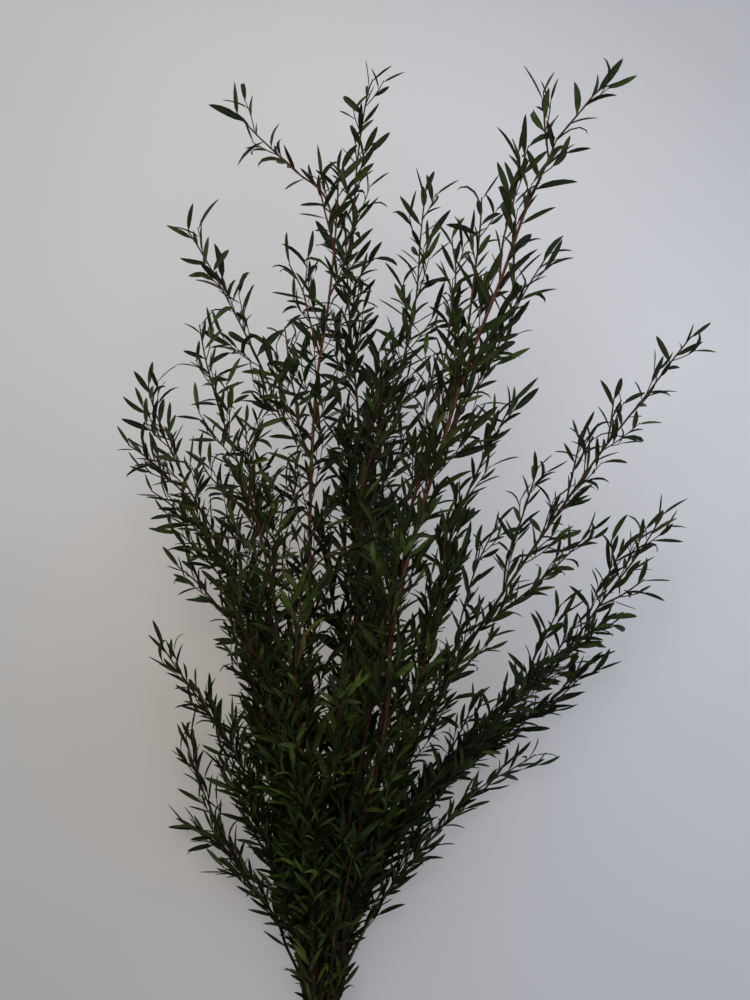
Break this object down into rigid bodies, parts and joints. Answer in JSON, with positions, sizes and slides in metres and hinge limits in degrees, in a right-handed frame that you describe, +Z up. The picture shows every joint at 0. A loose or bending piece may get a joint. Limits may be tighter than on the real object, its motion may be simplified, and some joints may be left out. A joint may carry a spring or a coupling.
{
  "type": "preserved leptospermum bunch",
  "caption": "Cut bunch of preserved leptospermum: slender reddish-brown stems with side branches and narrow dark green leaves, gathered at the foot and fanned out, lying down",
  "frame": {"origin": "under the middle of the bunch, on the surface that it lies on", "axes": "+Z up from the surface, +Y along the bunch from its cut ends to its tips, +X to the right as seen from above with the tips away"},
  "size_m": [0.477, 0.8456, 0.2134],
  "materials": {
    "leaf": "preserved dark green leaf, supple, satin, with a paler midrib",
    "bark": "reddish-brown bark, fine and slightly flaky, matt"
  },
  "bodies": {
    "root": {"stem_low_left": "leaf", "stem_lower_left": "leaf", "stem_far_left": "leaf", "stem_upper_left": "leaf", "stem_back_left": "leaf", "stem_front": "leaf", "stem_tall_left": "leaf", "stem_middle": "leaf", "stem_back": "leaf", "stem_upper_middle": "leaf", "stem_upper_right": "leaf", "stem_tall_right": "leaf", "stem_inner_right": "leaf", "stem_far_right": "leaf", "stem_right": "leaf", "stem_lower_right": "leaf", "stem_low_right": "leaf"}
  },
  "joints": []
}
